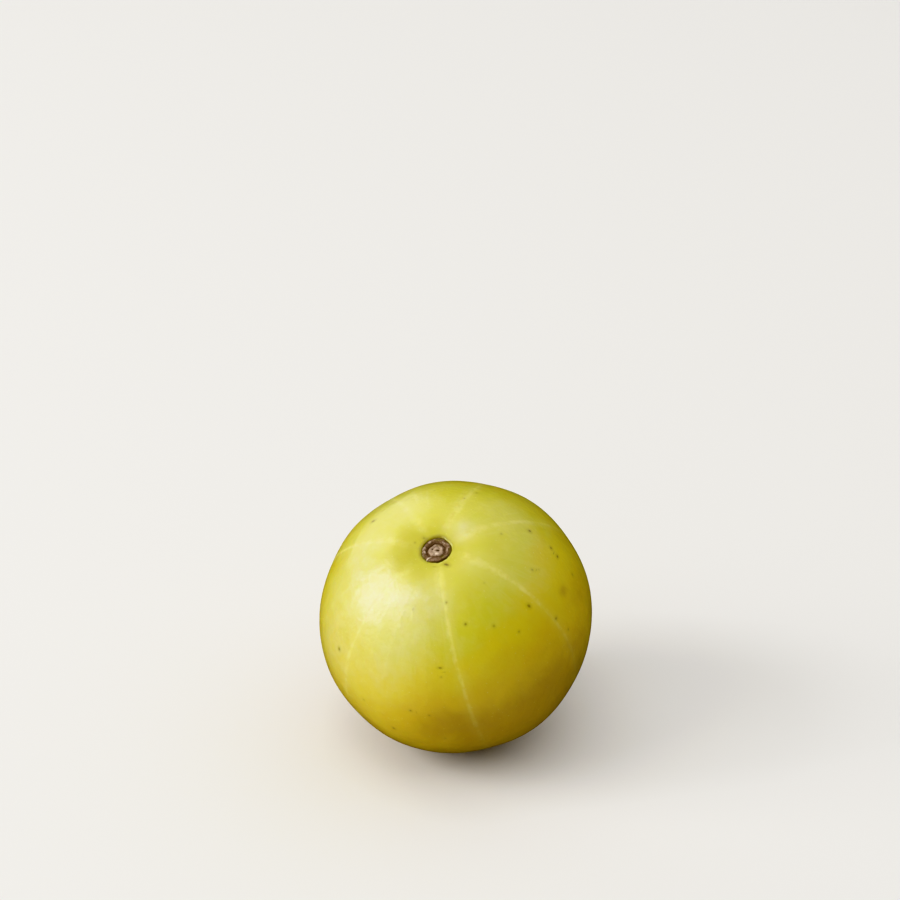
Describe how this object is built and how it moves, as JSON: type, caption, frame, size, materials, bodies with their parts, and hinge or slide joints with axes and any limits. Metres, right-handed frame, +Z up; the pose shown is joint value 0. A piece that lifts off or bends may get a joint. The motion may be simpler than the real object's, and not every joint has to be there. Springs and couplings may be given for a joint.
{
  "type": "indian gooseberry",
  "caption": "Whole round yellow-green orchard fruit with faint lengthwise seams and a small woody stalk scar in a shallow dip, lying on its side on a small flat spot.",
  "frame": {"origin": "centre of the small flat spot that the fruit rests on, straight below the fruit's centre", "axes": "+Z up from the surface it rests on; the stalk end leans 27 degrees from +Z towards -Y; +X is level"},
  "size_m": [0.0376, 0.0376, 0.0364],
  "materials": {
    "skin": "satin, waxy yellow-green fruit skin",
    "scar": "dry, rough, dark brown broken stalk end"
  },
  "bodies": {
    "root": {"fruit_body": "skin", "stem_scar": "scar"}
  },
  "joints": []
}
